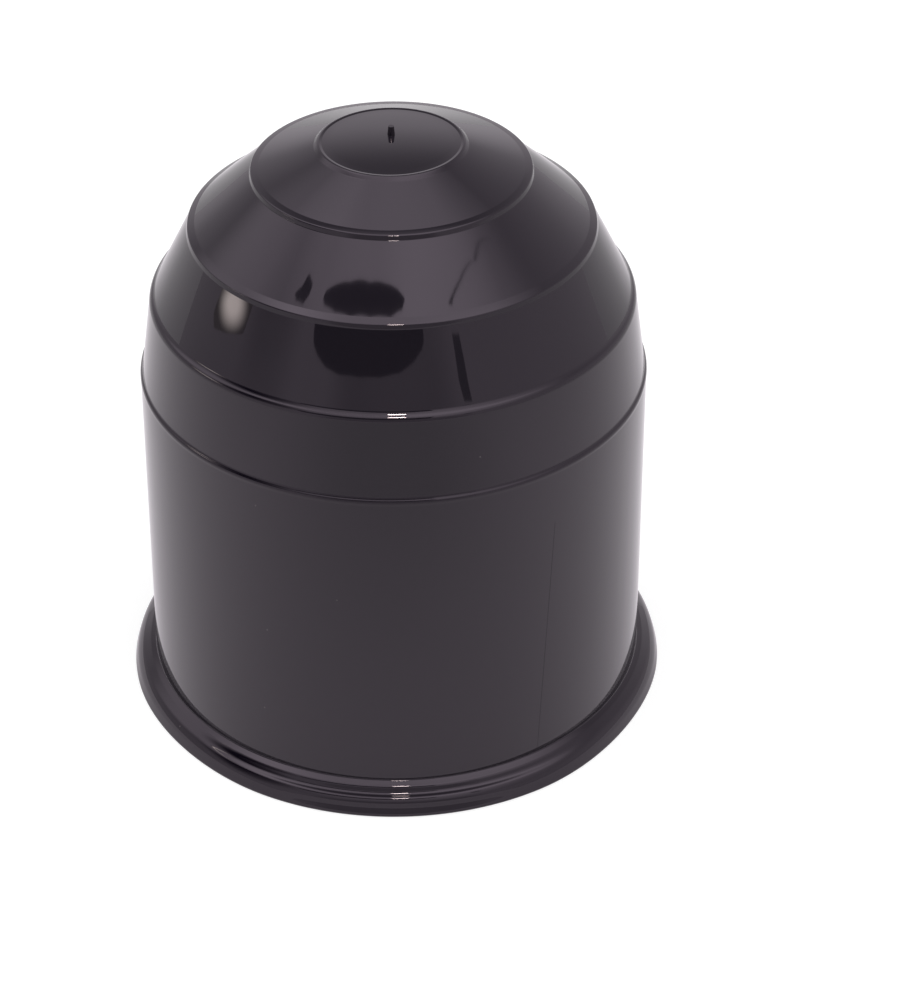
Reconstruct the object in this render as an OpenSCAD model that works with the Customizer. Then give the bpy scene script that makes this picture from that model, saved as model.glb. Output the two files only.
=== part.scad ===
// Tow ball cover: a slip-on cap moulded in one piece, standing on its rim with the mouth down.
// A short skirt carries a dome of conical bands. The upper bands meet in fine stepped ridges and the
// lower ones in soft swells. The mouth has a rolled lip that flares out, with two grip grooves in
// front that fade out towards the sides.
// Inside is a plain bore with a banded dome of even wall above it.
// Millimetres. Z is the axis of the cap and z = 0 is the plane that the rim rests on.

/* [Ball fit] */
// Diameter of the ball that the cap slips over
ball_d = 47.6; // [44:0.1:52]
// Gap between the ball and the bore, all round
ball_gap = 0.4; // [0.1:0.1:0.8]
// Thickness of the wall at the shoulder and in the dome
wall = 2.25; // [1.8:0.05:2.6]
// Chamfer that guides the ball into the mouth
mouth_chamfer = 0.5; // [0.2:0.1:1]

/* [Skirt] */
// Height of the shoulder ridge, where the skirt ends and the dome begins
shoulder_z = 38; // [30:0.5:50]
// How much wider in radius the skirt is at the rim than at the shoulder
skirt_draft = 0.4; // [0:0.05:0.8]
// How far the fine ridge at the shoulder stands out from the skirt
shoulder_ridge = 0.05; // [0.05:0.05:0.3]

/* [Dome] */
// Rise of the lowest, almost upright band
low_band_rise = 8.7; // [7.5:0.05:10]
// How far the lowest band leans in
low_band_inset = 1.5; // [1:0.1:2.5]
// Rise of the second band
second_band_rise = 8; // [7:0.1:9]
// How far the second band leans in
second_band_inset = 4.25; // [3.4:0.05:5]
// Rise of the third band
third_band_rise = 6; // [5:0.1:7]
// How far the third band leans in
third_band_inset = 6.6; // [5.5:0.1:7]
// Rise of the flat band round the top disc
top_band_rise = 2.75; // [2.2:0.05:3.6]
// How far the band round the top disc leans in
top_band_inset = 6.8; // [6:0.05:8.5]
// Height of the crown in the middle of the top disc
crown = 0.3; // [0.1:0.05:0.5]

/* [Stepped ridges] */
// Width of the ledge on the two wide ridges of the dome
wide_ledge = 0.75; // [0.5:0.05:0.9]
// Rise of the ledge on the upper wide ridge
high_ledge_rise = 0.12; // [0.05:0.01:0.2]
// Rise of the ledge on the lower wide ridge
middle_ledge_rise = 0.37; // [0.2:0.01:0.5]
// Width of the ledge at the edge of the top disc, and of the slope outside it
fine_ledge = 0.4; // [0.3:0.05:0.5]
// Height of the riser below each wide ledge
riser = 0.5; // [0.3:0.05:0.7]
// Height of the riser below the narrow ledges, at the top disc and at the shoulder
narrow_riser = 0.4; // [0.35:0.05:0.6]
// How far the risers of the wide ridges lean out
riser_lean = 0.12; // [0:0.01:0.2]
// Rounding on the crest of each wide ridge
crest_round = 0.2; // [0.1:0.05:0.25]
// Rounding on the crest round the top disc
disc_round = 0.35; // [0.2:0.05:0.4]
// Rounding in the corners beside each stepped ridge
corner_round = 0.15; // [0.1:0.05:0.2]

/* [Soft ridges] */
// Width of the swell that ends the second band
low_ledge = 0.5; // [0.45:0.05:0.7]
// Rise of that swell
low_ledge_rise = 0.36; // [0.3:0.02:0.5]
// Rounding of the hollow above its crest
low_hollow = 1; // [0.5:0.1:1]
// Rounding over its crest, on to the lowest band
low_round = 0.9; // [0.5:0.1:1]
// Width of the swell at the shoulder
shoulder_ledge = 0.32; // [0.3:0.01:0.5]
// Rise of the swell at the shoulder
shoulder_ledge_rise = 0.31; // [0.28:0.01:0.5]
// Rounding of the hollow above the shoulder's crest
shoulder_hollow = 0.5; // [0.2:0.1:0.5]
// Rounding over the shoulder's crest
shoulder_round = 0.5; // [0.2:0.1:0.5]

/* [Rim] */
// Height of the corner where the lip leaves the skirt
rim_h = 3; // [2.7:0.1:3.4]
// How far the lip's outer edge stands out from the skirt
rim_out = 2.5; // [2:0.05:3]
// Width of the narrow ledge between the skirt and the lip's inner crest
lip_ledge = 0.6; // [0.5:0.05:0.8]
// How far the lip's inner crest lies below the corner
lip_fall = 0.25; // [0.1:0.05:0.3]
// How far the lip's knee stands in from its outer edge
knee_inset = 0.55; // [0.3:0.05:0.8]
// Height of the lip's knee
knee_h = 1.75; // [1.4:0.05:2]
// Rounding on the lip's inner crest
lip_round = 0.4; // [0.2:0.05:0.45]
// Rounding of the knee, which makes the lip a rolled one
knee_round = 2.2; // [1:0.1:2.4]
// Rounding on the lip's outer edge
edge_round = 0.2; // [0.1:0.05:0.3]

/* [Grip grooves] */
// Radius of the grooves' round section
groove_r = 0.5; // [0.4:0.05:0.6]
// Depth of the upper groove at the very front
upper_groove = 0.25; // [0.15:0.05:0.3]
// Place of the upper groove, as a share of the way from the lip's crest to its knee
upper_groove_at = 0.45; // [0.4:0.01:0.55]
// Depth of the lower groove at the very front
lower_groove = 0.12; // [0.08:0.01:0.2]
// Place of the lower groove, as a share of the way from the lip's knee to its foot
lower_groove_at = 0.42; // [0.35:0.01:0.5]
// How far the grooves' centre lies behind the cap's axis, so that they fade out at the sides
groove_shift = 1.2; // [0.8:0.1:2]

/* [Gate mark] */
// Width of the small stub left where the plastic entered the mould
gate_d = 0.8; // [0.6:0.1:1.5]
// Width of the stub's top, as a share of the width of its foot
gate_taper = 0.7; // [0.5:0.05:1]
// Height of the stub
gate_h = 0.9; // [0.5:0.1:1.5]
// How far the stub lies behind the middle of the top disc
gate_back = 1; // [0:0.1:2]

/* [Hidden] */
$fn = 96;
// Sides of the grooves' round section, and of the stub
groove_sides = 32;
stub_sides = 24;
// Longest straight stretch on a rounded corner
round_chord = 0.25;
// Straight stretches from the axis to the edge of the crowned disc
crown_steps = 4;
bore_r = ball_d / 2 + ball_gap;
skirt_top_r = bore_r + wall;
skirt_foot_r = skirt_top_r + skirt_draft;
rim_r = skirt_foot_r + rim_out;

// Crests of the ridges, from the shoulder up to the edge of the top disc
shoulder_crest = [skirt_top_r + shoulder_ridge, shoulder_z];
low_crest = shoulder_crest + [-low_band_inset, low_band_rise];
middle_crest = low_crest + [-second_band_inset, second_band_rise];
high_crest = middle_crest + [-third_band_inset, third_band_rise];
disc_crest = high_crest + [-top_band_inset, top_band_rise];

// The edge of the crowned middle of the top disc, a little below the crest round it
disc_dip = corner_round / 2;
disc_edge = disc_crest - [fine_ledge, disc_dip];

// Corners of the lip, from its inner crest over the knee to the foot of its outer edge
lip_crest = [skirt_foot_r + lip_ledge, rim_h - lip_fall];
lip_knee = [rim_r - knee_inset, knee_h];
lip_foot = [rim_r, 0];

// The unit direction from one point towards another
function toward(from, to) = (to - from) / norm(to - from);

// A turn between two directions, kept within half a circle
function short_turn(degrees) = degrees > 180 ? degrees - 360 : degrees < -180 ? degrees + 360 : degrees;

// The points that round the corner at b, between a and c, to the given radius
function rounded_corner(a, b, c, radius) =
    let (
        to_a = toward(b, a),
        to_c = toward(b, c),
        half = acos(to_a * to_c) / 2,
        centre = b + toward([0, 0], to_a + to_c) * radius / sin(half),
        start = b + to_a * radius / tan(half) - centre,
        end = b + to_c * radius / tan(half) - centre,
        first = atan2(start[1], start[0]),
        turn = short_turn(atan2(end[1], end[0]) - first),
        steps = max(1, ceil(radius * abs(turn) * PI / 180 / round_chord))
    )
    [for (i = [0 : steps]) centre + radius * [cos(first + turn * i / steps), sin(first + turn * i / steps)]];

// A path whose entries are [r, z, rounding], turned into the points of its outline
function rounded_path(path) = [
    for (i = [0 : len(path) - 1])
        let (
            before = path[(i + len(path) - 1) % len(path)],
            here = path[i],
            after = path[(i + 1) % len(path)]
        )
        each here[2] == 0
            ? [[here[0], here[1]]]
            : rounded_corner([before[0], before[1]], [here[0], here[1]], [after[0], after[1]], here[2])
];

// A ridge in the outline: the end of the band above it, the crest, and the foot of its riser
function ridge(crest, ledge, rise, lean, drop, hollow = corner_round, round = crest_round) = [
    [crest[0] - ledge, crest[1] + rise, hollow],
    [crest[0], crest[1], round],
    [crest[0] + lean, crest[1] - drop, corner_round]
];

// The angle of a face's outward normal above the horizontal, from its upper to its lower end
function face_normal(upper, lower) = atan2(lower[0] - upper[0], upper[1] - lower[1]);

// The corner of the inner dome behind a crest, with the wall's thickness square to both bands
function inner_corner(crest, above, below) =
    crest - wall / cos((above - below) / 2) * [cos((above + below) / 2), sin((above + below) / 2)];

// The shallow crown of the top disc, as a parabola from the axis out to the disc's edge
function crown_points(edge) = [
    for (i = [0 : crown_steps - 1])
        let (part = i / crown_steps) [edge[0] * part, edge[1] + crown * (1 - part * part), 0]
];

// A groove round the lip, centred behind the axis so that it cuts in at the front only.
// It lies on the face between two corners of the lip, at a share of the way from the first.
module grip_groove(upper, lower, share, depth) {
    normal = face_normal(upper, lower);
    middle = upper + (lower - upper) * share + (groove_r - depth) * [cos(normal), sin(normal)];
    translate([0, groove_shift, 0])
        rotate_extrude()
            translate([middle[0] + groove_shift, middle[1]])
                circle(r = groove_r, $fn = groove_sides);
}

module cap() {
    low_normal = face_normal(low_crest, shoulder_crest);
    second_normal = face_normal(middle_crest, low_crest);
    third_normal = face_normal(high_crest, middle_crest);
    top_normal = face_normal(disc_crest, high_crest);
    inner_low = inner_corner(low_crest, second_normal, low_normal);
    inner_middle = inner_corner(middle_crest, third_normal, second_normal);
    inner_high = inner_corner(high_crest, top_normal, third_normal);
    inner_disc = inner_corner(disc_crest, 90, top_normal);

    dome = concat(
        crown_points(disc_edge),
        ridge(disc_crest, fine_ledge, -disc_dip, fine_ledge, narrow_riser, corner_round, disc_round),
        ridge(high_crest, wide_ledge, high_ledge_rise, riser_lean, riser),
        ridge(middle_crest, wide_ledge, middle_ledge_rise, riser_lean, riser),
        [[low_crest[0] - low_ledge, low_crest[1] + low_ledge_rise, low_hollow]],
        [[low_crest[0], low_crest[1], low_round]],
        ridge(shoulder_crest, shoulder_ledge, shoulder_ledge_rise, -shoulder_ridge, narrow_riser,
            shoulder_hollow, shoulder_round)
    );
    lip = [
        [skirt_foot_r, rim_h, corner_round],
        [lip_crest[0], lip_crest[1], lip_round],
        [lip_knee[0], lip_knee[1], knee_round],
        [lip_foot[0], lip_foot[1], edge_round]
    ];
    inside = [
        [bore_r + mouth_chamfer, 0, 0],
        [bore_r, mouth_chamfer, 0],
        [bore_r, shoulder_z, 0],
        [inner_low[0], inner_low[1], 0],
        [inner_middle[0], inner_middle[1], 0],
        [inner_high[0], inner_high[1], 0],
        [inner_disc[0], inner_disc[1], 0],
        [0, inner_disc[1], 0]
    ];

    color([0.05, 0.05, 0.06])
    union() {
        difference() {
            rotate_extrude()
                polygon(rounded_path(concat(dome, lip, inside)));
            grip_groove(lip_crest, lip_knee, upper_groove_at, upper_groove);
            grip_groove(lip_knee, lip_foot, lower_groove_at, lower_groove);
        }
        translate([0, gate_back, disc_edge[1]])
            cylinder(d1 = gate_d, d2 = gate_d * gate_taper, h = crown + gate_h, $fn = stub_sides);
    }
}

cap();
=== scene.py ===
# A tow ball cover in glossy black plastic, standing on its rim on a white studio table.
# Everything is in metres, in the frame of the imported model: Z is the cap's axis, the rim rests on z = 0.
import math
import bmesh
import bpy
from mathutils import Matrix, Vector


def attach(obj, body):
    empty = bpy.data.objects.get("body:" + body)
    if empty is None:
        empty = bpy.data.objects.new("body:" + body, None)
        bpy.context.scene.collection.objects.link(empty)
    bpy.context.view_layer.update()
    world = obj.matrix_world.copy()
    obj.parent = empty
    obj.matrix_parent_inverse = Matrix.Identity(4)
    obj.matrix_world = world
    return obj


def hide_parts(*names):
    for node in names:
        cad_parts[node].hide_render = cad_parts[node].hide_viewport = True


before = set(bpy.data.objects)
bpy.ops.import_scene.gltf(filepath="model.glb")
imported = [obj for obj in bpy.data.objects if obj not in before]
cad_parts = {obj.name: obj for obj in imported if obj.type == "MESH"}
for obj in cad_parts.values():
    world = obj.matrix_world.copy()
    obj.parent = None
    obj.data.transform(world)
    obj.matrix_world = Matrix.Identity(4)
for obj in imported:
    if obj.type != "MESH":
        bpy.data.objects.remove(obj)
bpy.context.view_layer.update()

MM = 0.001

# The cap: one shell of soft black PVC, injected at the middle of the top disc.
# Its outline is the half section of the mould, turned round the axis, with every edge
# rounded as a polished steel mould leaves it.
bore_r = 24.2 * MM
wall = 2.25 * MM
mouth_chamfer = 0.5 * MM
shoulder_z = 38.0 * MM
shoulder_ridge = 0.05 * MM
skirt_top_r = bore_r + wall
skirt_draft = 0.4 * MM
skirt_foot_r = skirt_top_r + skirt_draft
crest_round = 0.2 * MM
disc_round = 0.35 * MM
corner_round = 0.15 * MM
riser = 0.5 * MM
narrow_riser = 0.4 * MM
riser_lean = 0.12 * MM
wide_ledge = 0.75 * MM
fine_ledge = 0.4 * MM
crown = 0.3 * MM
disc_dip = corner_round / 2

shoulder = Vector((skirt_top_r + shoulder_ridge, shoulder_z))
low = shoulder + Vector((-1.5, 8.7)) * MM
middle = low + Vector((-4.25, 8.0)) * MM
high = middle + Vector((-6.6, 6.0)) * MM
disc = high + Vector((-6.8, 2.75)) * MM
disc_edge = disc - Vector((fine_ledge, disc_dip))


def ridge(crest, ledge, rise, lean, drop, hollow=corner_round, rounding=crest_round):
    """The three corners of a ridge: the end of the band above, the crest, the foot of the riser."""
    return [
        (crest.x - ledge, crest.y + rise, hollow),
        (crest.x, crest.y, rounding),
        (crest.x + lean, crest.y - drop, corner_round),
    ]


def face_normal(upper, lower):
    """The angle of a face's outward normal above the horizontal."""
    return math.atan2(lower.x - upper.x, upper.y - lower.y)


def inner_corner(crest, above, below):
    """The corner of the inner dome behind a crest, one wall's thickness from both bands."""
    between = (above + below) / 2
    reach = wall / math.cos((above - below) / 2)
    return (crest.x - reach * math.cos(between), crest.y - reach * math.sin(between), 0)


low_normal = face_normal(low, shoulder)
second_normal = face_normal(middle, low)
third_normal = face_normal(high, middle)
top_normal = face_normal(disc, high)
inner_top = inner_corner(disc, math.radians(90), top_normal)

# The rolled lip, from the corner beside the skirt over its crest and its knee to its foot
rim_h = 3.0 * MM
rim_r = skirt_foot_r + 2.5 * MM
knee_round = 2.2 * MM
lip_crest = Vector((skirt_foot_r + 0.6 * MM, 2.75 * MM))
lip_knee = Vector((rim_r - 0.55 * MM, 1.75 * MM))
lip_foot = Vector((rim_r, 0))
lip = [
    (skirt_foot_r, rim_h, corner_round),
    (lip_crest.x, lip_crest.y, 0.4 * MM),
    (lip_knee.x, lip_knee.y, knee_round),
    (lip_foot.x, lip_foot.y, 0.2 * MM),
]

crown_rings = 8
outline = [
    (disc_edge.x * i / crown_rings, disc_edge.y + crown * (1 - (i / crown_rings) ** 2), 0)
    for i in range(crown_rings)
]
outline += ridge(disc, fine_ledge, -disc_dip, fine_ledge, narrow_riser, rounding=disc_round)
outline += ridge(high, wide_ledge, 0.12 * MM, riser_lean, riser)
outline += ridge(middle, wide_ledge, 0.37 * MM, riser_lean, riser)
outline += [(low.x - 0.5 * MM, low.y + 0.36 * MM, 1.0 * MM), (low.x, low.y, 0.9 * MM)]
outline += ridge(
    shoulder, 0.32 * MM, 0.31 * MM, -shoulder_ridge, narrow_riser, 0.5 * MM, 0.5 * MM)
outline += lip
outline += [
    (bore_r + mouth_chamfer, 0, 0),
    (bore_r, mouth_chamfer, 0),
    (bore_r, shoulder_z, 0),
    inner_corner(low, second_normal, low_normal),
    inner_corner(middle, third_normal, second_normal),
    inner_corner(high, top_normal, third_normal),
    inner_top,
    (0, inner_top[1], 0),
]

# The half section as a chain of edges, its corners rounded before it is turned
shell = bmesh.new()
chain = [shell.verts.new((r, 0, z)) for r, z, _ in outline]
for start, end in zip(chain, chain[1:]):
    shell.edges.new((start, end))
cuts = []
for i, (r, z, radius) in enumerate(outline):
    if radius:
        here = Vector((r, z))
        back = (Vector(outline[i - 1][:2]) - here).normalized()
        ahead = (Vector(outline[i + 1][:2]) - here).normalized()
        half = math.acos(max(-1, min(1, back.dot(ahead)))) / 2
        segments = 4 + round(6 * radius / MM)
        cuts.append((chain[i], radius / math.tan(half), segments))
for corner, cut, segments in cuts:
    bmesh.ops.bevel(
        shell, geom=[corner], offset=cut, offset_type="OFFSET", affect="VERTICES",
        segments=segments, profile=0.5, material=-1,
    )


def on_lip(point):
    """Whether a point of the cap is on the outer face of its lip."""
    return math.hypot(point.x, point.y) > skirt_foot_r + 0.1 * MM and point.z > 0.05 * MM


# The lip's face is divided finely, for its grooves and its dent
coarse = [e for e in shell.edges if on_lip(e.verts[0].co) and on_lip(e.verts[1].co)
          and e.calc_length() > 0.2 * MM]
bmesh.ops.subdivide_edges(shell, edges=coarse, cuts=5)
bmesh.ops.spin(
    shell, geom=shell.verts[:] + shell.edges[:], cent=(0, 0, 0), axis=(0, 0, 1),
    angle=math.tau, steps=512, use_merge=True,
)
bmesh.ops.remove_doubles(shell, verts=shell.verts, dist=0.002 * MM)
bmesh.ops.recalc_face_normals(shell, faces=shell.faces)
shell.normal_update()

# Two grip grooves in the front of the lip, deepest at the very front and fading to both sides
groove_half = 0.62 * MM
groove_shift = 1.2 * MM
grooves = (
    (lip_crest.lerp(lip_knee, 0.45), face_normal(lip_crest, lip_knee), 0.25 * MM),
    (lip_knee.lerp(lip_foot, 0.42), face_normal(lip_knee, lip_foot), 0.12 * MM),
)


def groove_depth(point):
    """How deep the grip grooves are at a point of the lip."""
    flat = math.hypot(point.x, point.y)
    behind = groove_shift * (1 + point.y / flat)
    depth = 0
    for centre, normal, front_depth in grooves:
        across = (Vector((flat, point.z)) - centre).length / groove_half
        deep = front_depth - behind * math.cos(normal)
        if across < 1 and deep > 0:
            depth += deep * (1 - across * across) ** 2
    return depth


for vert in shell.verts:
    if on_lip(vert.co):
        vert.co -= vert.normal * groove_depth(vert.co)

# The soft lip is pressed in a little on both sides. Each dent is named by its azimuth to the
# right of the front and its half width, in degrees, and by its depth at the outer edge.
dents = ((57, 26, 0.28 * MM), (-52, 24, 0.16 * MM))


def dent_depth(point):
    """How far the lip is pressed in at a point: not at all at the skirt, most at its edge."""
    share = max(0, (math.hypot(point.x, point.y) - skirt_foot_r) / (rim_r - skirt_foot_r))
    azimuth = math.degrees(math.atan2(point.x, -point.y))
    offs = [((azimuth - centre) / half, deepest) for centre, half, deepest in dents]
    return share * sum(deepest * (1 - off * off) ** 2 for off, deepest in offs if abs(off) < 1)


for vert in shell.verts:
    inward = Vector((-vert.co.x, -vert.co.y, 0)).normalized()
    vert.co += inward * dent_depth(vert.co)

# The stub where the runner was twisted off stands just behind the middle of the disc
gate_d = 0.8 * MM
gate_taper = 0.7
gate_h = 0.9 * MM
gate_back = 1.0 * MM
stub_foot = disc_edge.y + crown / 2
stub_top = disc_edge.y + crown + gate_h
bmesh.ops.create_cone(
    shell, cap_ends=True, segments=20, radius1=gate_d / 2, radius2=gate_d / 2 * gate_taper,
    depth=stub_top - stub_foot,
    matrix=Matrix.Translation((0, gate_back, (stub_foot + stub_top) / 2)),
)
for face in shell.faces:
    face.smooth = True

cap_mesh = bpy.data.meshes.new("cap_skin")
shell.to_mesh(cap_mesh)
shell.free()
cap_mesh.set_sharp_from_angle(angle=math.radians(40))
cap = bpy.data.objects.new("cap_skin", cap_mesh)
bpy.context.scene.collection.objects.link(cap)
# The shading follows the large faces, so that each band mirrors as the straight cone it is
flat_bands = cap.modifiers.new("flat_bands", "WEIGHTED_NORMAL")
flat_bands.mode = "FACE_AREA"
flat_bands.weight = 50
flat_bands.keep_sharp = True
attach(cap, "root")
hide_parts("cap")


def linear(hex_colour):
    """An sRGB hex colour as the linear values that a shader socket takes."""
    parts = [int(hex_colour[i:i + 2], 16) / 255 for i in (1, 3, 5)]
    return [p / 12.92 if p <= 0.04045 else ((p + 0.055) / 1.055) ** 2.4 for p in parts] + [1]


def add_node(tree, kind, settings=None, **links):
    """A node of one kind, with its settings, and with inputs set to values or linked to sockets."""
    node = tree.nodes.new(kind)
    for name, value in (settings or {}).items():
        setattr(node, name, value)
    for name, value in links.items():
        key = name.replace("_", " ")
        socket = node.inputs[int(key[1:])] if key[0] == "i" and key[1:].isdigit() else node.inputs[key]
        if isinstance(value, bpy.types.NodeSocket):
            tree.links.new(value, socket)
        else:
            socket.default_value = value
    return node


# Moulded gloss PVC: near-black all through, so that nearly all its tone is what its polish
# mirrors. The soft plastic's shrinkage makes the mirror image waver a little, and a few
# specks of dust lie on it.
plastic = bpy.data.materials.new("moulded_gloss_pvc")
plastic.use_nodes = True
tree = plastic.node_tree
gloss = tree.nodes["Principled BSDF"]
gloss.inputs["Specular Tint"].default_value = linear("#fff4ff")
gloss.inputs["IOR"].default_value = 1.5
place = add_node(tree, "ShaderNodeTexCoord").outputs["Object"]
speck_spacing = 4 * MM
speck_share = 0.018
cells = add_node(tree, "ShaderNodeTexVoronoi", Vector=place, Scale=1 / speck_spacing)
specks = add_node(
    tree, "ShaderNodeMath", {"operation": "LESS_THAN"}, i0=cells.outputs["Distance"],
    i1=speck_share)
dusty = add_node(
    tree, "ShaderNodeMix", {"data_type": "RGBA"}, Factor=specks.outputs["Value"],
    i6=linear("#1a171d"), i7=linear("#5c5a58"))
tree.links.new(dusty.outputs[2], gloss.inputs["Base Color"])
bloom = add_node(tree, "ShaderNodeTexNoise", Vector=place, Scale=1 / (9 * MM), Detail=3.0)
# A hair-thin scratch runs down the skirt on the right. It is given by half its width, the
# direction across it, the height of its middle and how far it reaches above and below that.
scratch_half = 0.05 * MM
scratch_across = Vector((math.cos(math.radians(35.1)), math.sin(math.radians(35.1)), -0.0615))
scratch_middle = (0, 0, 17.7 * MM)
scratch_reach = 14.1 * MM
from_middle = add_node(
    tree, "ShaderNodeVectorMath", {"operation": "SUBTRACT"}, i0=place, i1=scratch_middle)
off_line = add_node(
    tree, "ShaderNodeVectorMath", {"operation": "DOT_PRODUCT"}, i0=from_middle.outputs["Vector"],
    i1=scratch_across)
on_line = add_node(
    tree, "ShaderNodeMath", {"operation": "COMPARE"}, i0=off_line.outputs["Value"], i1=0.0,
    i2=scratch_half)
parts = add_node(tree, "ShaderNodeSeparateXYZ", Vector=from_middle.outputs["Vector"])
in_reach = add_node(
    tree, "ShaderNodeMath", {"operation": "COMPARE"}, i0=parts.outputs["Z"], i1=0.0,
    i2=scratch_reach)
in_front = add_node(
    tree, "ShaderNodeMath", {"operation": "LESS_THAN"}, i0=parts.outputs["Y"], i1=0.0)
scratch = on_line.outputs["Value"]
for limit in (in_reach, in_front):
    scratch = add_node(
        tree, "ShaderNodeMath", {"operation": "MULTIPLY"}, i0=scratch,
        i1=limit.outputs["Value"]).outputs["Value"]
dulled = add_node(tree, "ShaderNodeMapRange", Value=scratch, To_Min=0.5, To_Max=0.3)
tree.links.new(dulled.outputs["Result"], gloss.inputs["Specular IOR Level"])
rough = add_node(tree, "ShaderNodeMapRange", Value=bloom.outputs["Fac"], To_Min=0.022, To_Max=0.04)
tree.links.new(rough.outputs["Result"], gloss.inputs["Roughness"])
wave = add_node(tree, "ShaderNodeTexNoise", Vector=place, Scale=1 / (6 * MM), Detail=1.0)
waviness = add_node(
    tree, "ShaderNodeBump", Height=wave.outputs["Fac"], Distance=0.008 * MM, Strength=1.0)
tree.links.new(waviness.outputs["Normal"], gloss.inputs["Normal"])
cap_mesh.materials.append(plastic)


# The table: a sheet of matt white card, lit past white in the photo, so that only a trace
# of the soft shadow round the rim is left. In the gloss it is a little dimmer in front,
# where the camera stands over it, and far off, where it meets the walls of the tent.
# There it also has the tent's faint violet cast.
table_mesh = bpy.data.meshes.new("table")
table_build = bmesh.new()
bmesh.ops.create_grid(table_build, x_segments=1, y_segments=1, size=1.5)
table_build.to_mesh(table_mesh)
table_build.free()
table = bpy.data.objects.new("table", table_mesh)
bpy.context.scene.collection.objects.link(table)
card = bpy.data.materials.new("matt_white_card")
card.use_nodes = True
tree = card.node_tree
matt = tree.nodes["Principled BSDF"]
matt.inputs["Base Color"].default_value = linear("#b9beb9")
matt.inputs["Roughness"].default_value = 0.9
matt.inputs["Specular IOR Level"].default_value = 0.1
ray = add_node(tree, "ShaderNodeLightPath").outputs
spot = add_node(tree, "ShaderNodeTexCoord").outputs["Object"]
# Painted shade: for mirror rays the table's glow is painted dimmer round a point in front, as the shadow
# of the camera standing over it, and painted dimmer far off, as the shade where the table meets the tent
# walls.
away = add_node(
    tree, "ShaderNodeVectorMath", {"operation": "DISTANCE"}, i0=spot, i1=(0, -150 * MM, 0))
painted_camera_shade = add_node(
    tree, "ShaderNodeMapRange", {"interpolation_type": "SMOOTHSTEP"}, Value=away.outputs["Value"],
    From_Min=30 * MM, From_Max=140 * MM, To_Min=0.15, To_Max=0.5)
seen = add_node(tree, "ShaderNodeMath", {"operation": "MULTIPLY"}, i0=ray["Is Camera Ray"], i1=0.62)
distance = add_node(
    tree, "ShaderNodeVectorMath", {"operation": "LENGTH"}, i0=spot)
painted_wall_shade = add_node(
    tree, "ShaderNodeMapRange", {"interpolation_type": "SMOOTHSTEP"},
    Value=distance.outputs["Value"], From_Min=70 * MM, From_Max=260 * MM, To_Min=1.0, To_Max=0.42)
shaded = add_node(
    tree, "ShaderNodeMath", {"operation": "MULTIPLY"}, i0=painted_camera_shade.outputs["Result"],
    i1=painted_wall_shade.outputs["Result"])
mirrored = add_node(
    tree, "ShaderNodeMath", {"operation": "MULTIPLY"}, i0=ray["Is Glossy Ray"],
    i1=shaded.outputs["Value"])
lift = add_node(
    tree, "ShaderNodeMath", {"operation": "ADD"}, i0=seen.outputs["Value"],
    i1=mirrored.outputs["Value"])
# Painted light: for mirror rays the table's glow is painted with the violet cast of the tent's light.
hue = add_node(
    tree, "ShaderNodeMix", {"data_type": "RGBA"}, Factor=ray["Is Glossy Ray"], i6=(1, 1, 1, 1),
    i7=(1.0, 0.9, 1.0, 1))
glow = add_node(
    tree, "ShaderNodeEmission", Color=hue.outputs[2], Strength=lift.outputs["Value"])
both = add_node(
    tree, "ShaderNodeAddShader", i0=matt.outputs["BSDF"], i1=glow.outputs["Emission"])
tree.links.new(both.outputs["Shader"], tree.nodes["Material Output"].inputs["Surface"])
table_mesh.materials.append(card)


def direction(azimuth, elevation):
    """The unit direction at an azimuth to the right of the front, and an elevation."""
    turn, tilt = math.radians(azimuth), math.radians(elevation)
    return Vector((math.sin(turn) * math.cos(tilt), -math.cos(turn) * math.cos(tilt), math.sin(tilt)))


# The light tent round the table: its walls and roof as a ramp by height, and on it the
# patches where lamps shine through the cloth or where it is in shade. Its light has a faint
# violet cast, and the camera itself sees it as plain white.
# Each patch is named by its azimuth, elevation, inner radius, soft edge and change of level.
patches = {
    "roof_lamp": (5, 70, 23, 30, 0.68),
    "left_fold": (-68, 32, 2, 23, -0.61),
    "left_lamp": (-112, 47, 1, 32, 1.0),
    "right_lamp": (54, 54, 17, 20, 0.3),
    "front_gap": (0, 0, 26, 12, -0.27),
    "left_post": (-107, 22, 30, 14, -0.15),
    "back_shade": (180, 42, 6, 14, -0.3),
    "back_wall": (180, 14, 8, 14, 0.3),
}
world = bpy.data.worlds.new("light_tent")
world.use_nodes = True
tree = world.node_tree
sky = add_node(tree, "ShaderNodeTexCoord").outputs["Generated"]
height = add_node(tree, "ShaderNodeSeparateXYZ", Vector=sky).outputs["Z"]
walls = add_node(tree, "ShaderNodeValToRGB", Fac=height)
stops = ((0.0, 0.72), (0.2, 0.75), (0.5, 0.63), (0.75, 0.49), (0.9, 1.16))
ramp = walls.color_ramp
while len(ramp.elements) < len(stops):
    ramp.elements.new(0.5)
for element, (position, level) in zip(ramp.elements, stops):
    element.position = position
    element.color = (level, level, level, 1)
total = walls.outputs["Color"]
for azimuth, elevation, radius, edge, change in patches.values():
    near = add_node(
        tree, "ShaderNodeVectorMath", {"operation": "DOT_PRODUCT"}, i0=sky,
        i1=direction(azimuth, elevation))
    patch = add_node(
        tree, "ShaderNodeMapRange", {"interpolation_type": "SMOOTHSTEP"},
        Value=near.outputs["Value"], From_Min=math.cos(math.radians(radius + edge)),
        From_Max=math.cos(math.radians(radius)), To_Min=0.0, To_Max=change)
    total = add_node(
        tree, "ShaderNodeVectorMath", {"operation": "ADD"}, i0=total,
        i1=patch.outputs["Result"]).outputs["Vector"]
tinted = add_node(
    tree, "ShaderNodeVectorMath", {"operation": "MULTIPLY"}, i0=total, i1=(1.0, 0.94, 1.0))
tree.links.new(tinted.outputs["Vector"], tree.nodes["Background"].inputs["Color"])
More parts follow.
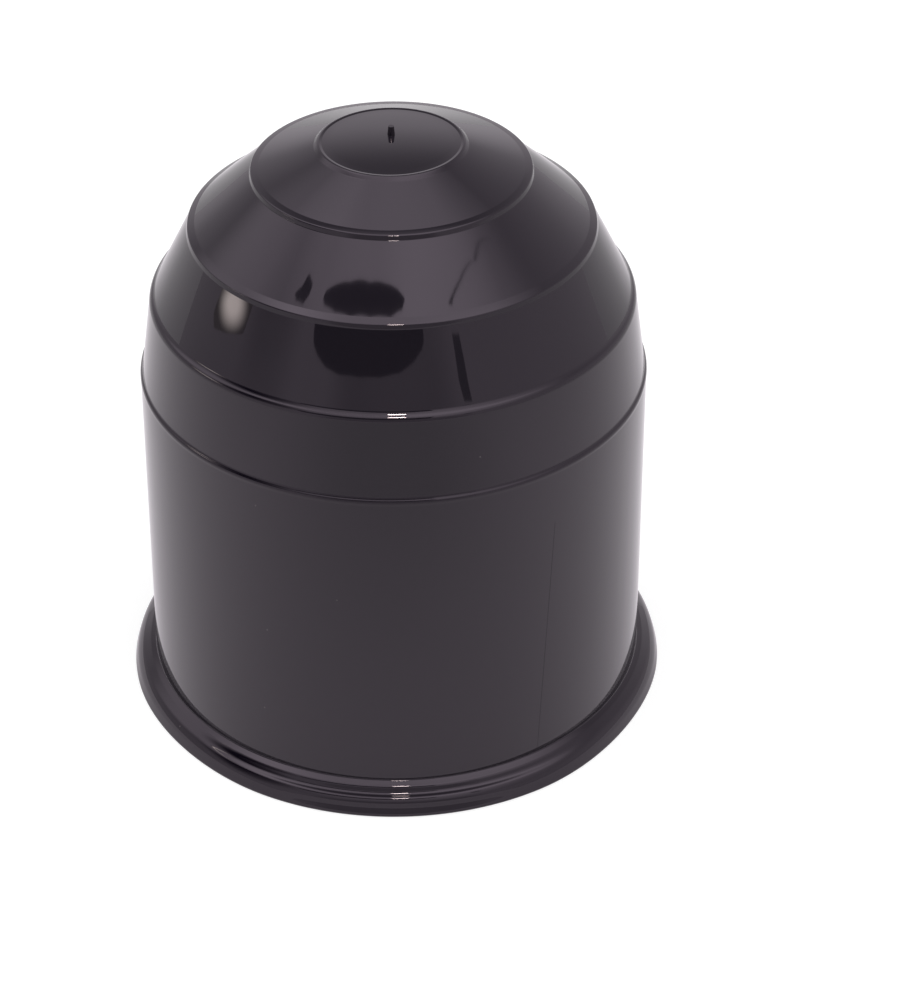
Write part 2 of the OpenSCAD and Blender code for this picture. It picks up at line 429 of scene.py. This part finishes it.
plain_white = add_node(tree, "ShaderNodeBackground", Color=(1, 1, 1, 1), Strength=1.0)
to_camera = add_node(tree, "ShaderNodeLightPath").outputs["Is Camera Ray"]
tent = add_node(
    tree, "ShaderNodeMixShader", i0=to_camera, i1=tree.nodes["Background"].outputs["Background"],
    i2=plain_white.outputs["Background"])
tree.links.new(tent.outputs["Shader"], tree.nodes["World Output"].inputs["Surface"])
bpy.context.scene.world = world

# The camera looks down on the cap from in front, with a slight roll
view = bpy.data.cameras.new("camera")
view.sensor_fit = "VERTICAL"
view.sensor_height = 36
view.lens = 98.27
view.shift_x = 0.0540
camera = bpy.data.objects.new("camera", view)
bpy.context.scene.collection.objects.link(camera)
camera.location = (0, -242.65 * MM, 190.21 * MM)
looked_at = Vector((0, 0, 19.80 * MM))
roll = -0.0105
camera.rotation_euler = (looked_at - camera.location).to_track_quat("-Z", "Y").to_euler()
camera.rotation_euler.rotate_axis("Z", roll)
bpy.context.scene.camera = camera
bpy.context.scene.view_settings.view_transform = "Standard"

# Things that show only as mirror images in the gloss: the dark slot in the tent that the
# camera looks through, a dark bar above it, a cable, a strap and a hook beside them, a bare
# bulb between them and a warm lamp low on the left. Each is a flat card, and its corners are
# given in millimetres to the right of its middle and up.
bpy.context.view_layer.update()
right, up, back = (Vector(axis) for axis in zip(*[row[:3] for row in camera.matrix_world[:3]]))


def stand_in(name, colour, level, middle, axes, corners, rounding, fade=None):
    """A card with a glow, plain or fading round a point, seen by nothing but mirror rays."""
    mesh = bpy.data.meshes.new(name)
    build = bmesh.new()
    build.faces.new([build.verts.new(middle + (axes[0] * x + axes[1] * y) * MM) for x, y in corners])
    if rounding:
        bmesh.ops.bevel(
            build, geom=build.verts[:], offset=rounding, offset_type="OFFSET", affect="VERTICES",
            segments=8, profile=0.5, material=-1,
        )
    build.to_mesh(mesh)
    build.free()
    piece = bpy.data.objects.new(name, mesh)
    bpy.context.scene.collection.objects.link(piece)
    piece.visible_camera = False
    piece.visible_diffuse = False
    piece.visible_shadow = False
    paint = bpy.data.materials.new(name + "_glow")
    paint.use_nodes = True
    paint.node_tree.nodes.remove(paint.node_tree.nodes["Principled BSDF"])
    emit = add_node(paint.node_tree, "ShaderNodeEmission", Color=linear(colour), Strength=level)
    if fade:
        heart, across, upward = fade
        here = add_node(paint.node_tree, "ShaderNodeTexCoord").outputs["Object"]
        off = add_node(
            paint.node_tree, "ShaderNodeVectorMath", {"operation": "SUBTRACT"}, i0=here, i1=heart)
        shares = [
            add_node(
                paint.node_tree, "ShaderNodeVectorMath", {"operation": "DOT_PRODUCT"},
                i0=off.outputs["Vector"], i1=axis).outputs["Value"]
            for axis in (across, upward)
        ]
        flat = add_node(paint.node_tree, "ShaderNodeCombineXYZ", X=shares[0], Y=shares[1])
        reach = add_node(
            paint.node_tree, "ShaderNodeVectorMath", {"operation": "LENGTH"},
            i0=flat.outputs["Vector"])
        falling = add_node(
            paint.node_tree, "ShaderNodeMapRange", {"interpolation_type": "SMOOTHSTEP"},
            Value=reach.outputs["Value"], From_Min=0.2, From_Max=1.0, To_Min=level, To_Max=0.3)
        paint.node_tree.links.new(falling.outputs["Result"], emit.inputs["Strength"])
    paint.node_tree.links.new(
        emit.outputs["Emission"], paint.node_tree.nodes["Material Output"].inputs["Surface"])
    mesh.materials.append(paint)


slot_corners = (
    (-125, 20), (-122, -11.2), (-119.2, -13.2), (-109, -15.6), (-92.7, -18.4), (-69.6, -20.9),
    (-41.7, -22.6), (-16.5, -22.9), (8, -21.8), (25.9, -19.6), (37.1, -17.3), (40.6, -15.7),
    (39.9, -14.5), (41.9, 20))
bar_corners = (
    (-97.2, 122.8), (-95.6, 123.8), (-82.5, 119.8), (-59.6, 112.8), (-31.1, 106.5), (-11.1, 104.2),
    (5.5, 103.1), (13.7, 102), (9.5, 99.9), (-4.6, 98.4), (-27.6, 99.7), (-52, 104.2),
    (-73.5, 111.4), (-91.3, 119.2))
cable_corners = (
    (68.6, 113.1), (75.2, 117.1), (96.9, 129.8), (144.3, 159.2), (255.5, 238.1), (269, 247.9),
    (151.2, 163.3), (101.5, 131.9), (79.3, 118.6), (74.4, 115.2))
strap_corners = (
    (82.8, -12), (84.6, -15.5), (85.9, -19.4), (91.1, -22.4), (104.1, -21.5), (100.7, -18.4),
    (98.1, -14.5), (94.9, -11.1))
hook_corners = (
    (-138, 147.8), (-125.3, 139), (-125.7, 136.5), (-132.9, 138.3), (-151.5, 148.8), (-162, 156.4),
    (-148.5, 150.9), (-144.1, 151.3))
bulb_corners = ((-7, 51), (11, 51), (11, 65), (-7, 65))
lamp_corners = ((-14, 3.5), (-3, -0.5), (7, -3.7), (12, -3.4), (13, 3), (-14, 8))
tent_front = camera.location - back * 120 * MM
bulb_place = camera.location - back * 124 * MM
lamp_line = direction(-88, 6)
lamp_place = Vector((-17.0, -13.6, 53.4)) * MM + lamp_line * 60 * MM
lamp_axes = (lamp_line.cross(Vector((0, 0, 1))).normalized(), Vector((0, 0, 1)))
stand_in("dark_slot", "#ffffff", 0.05, tent_front, (right, up), slot_corners, 1 * MM)
stand_in("dark_bar", "#ffffff", 0.05, tent_front, (right, up), bar_corners, 1 * MM)
stand_in("cable", "#ffffff", 0.25, tent_front, (right, up), cable_corners, 0)
stand_in("strap", "#ffffff", 0.12, tent_front, (right, up), strap_corners, 0)
stand_in("hook", "#ffffff", 0.1, tent_front, (right, up), hook_corners, 0)
stand_in("bare_bulb", "#fff4e8", 110, bulb_place, (right, up), bulb_corners, 6 * MM)
stand_in(
    "warm_lamp", "#fff8ec", 6.0, lamp_place, lamp_axes, lamp_corners, 1 * MM,
    (lamp_place + lamp_axes[1] * 2.2 * MM, lamp_axes[0] / (14 * MM),
     (lamp_axes[1] + lamp_axes[0] * 0.22) / (3.6 * MM)))
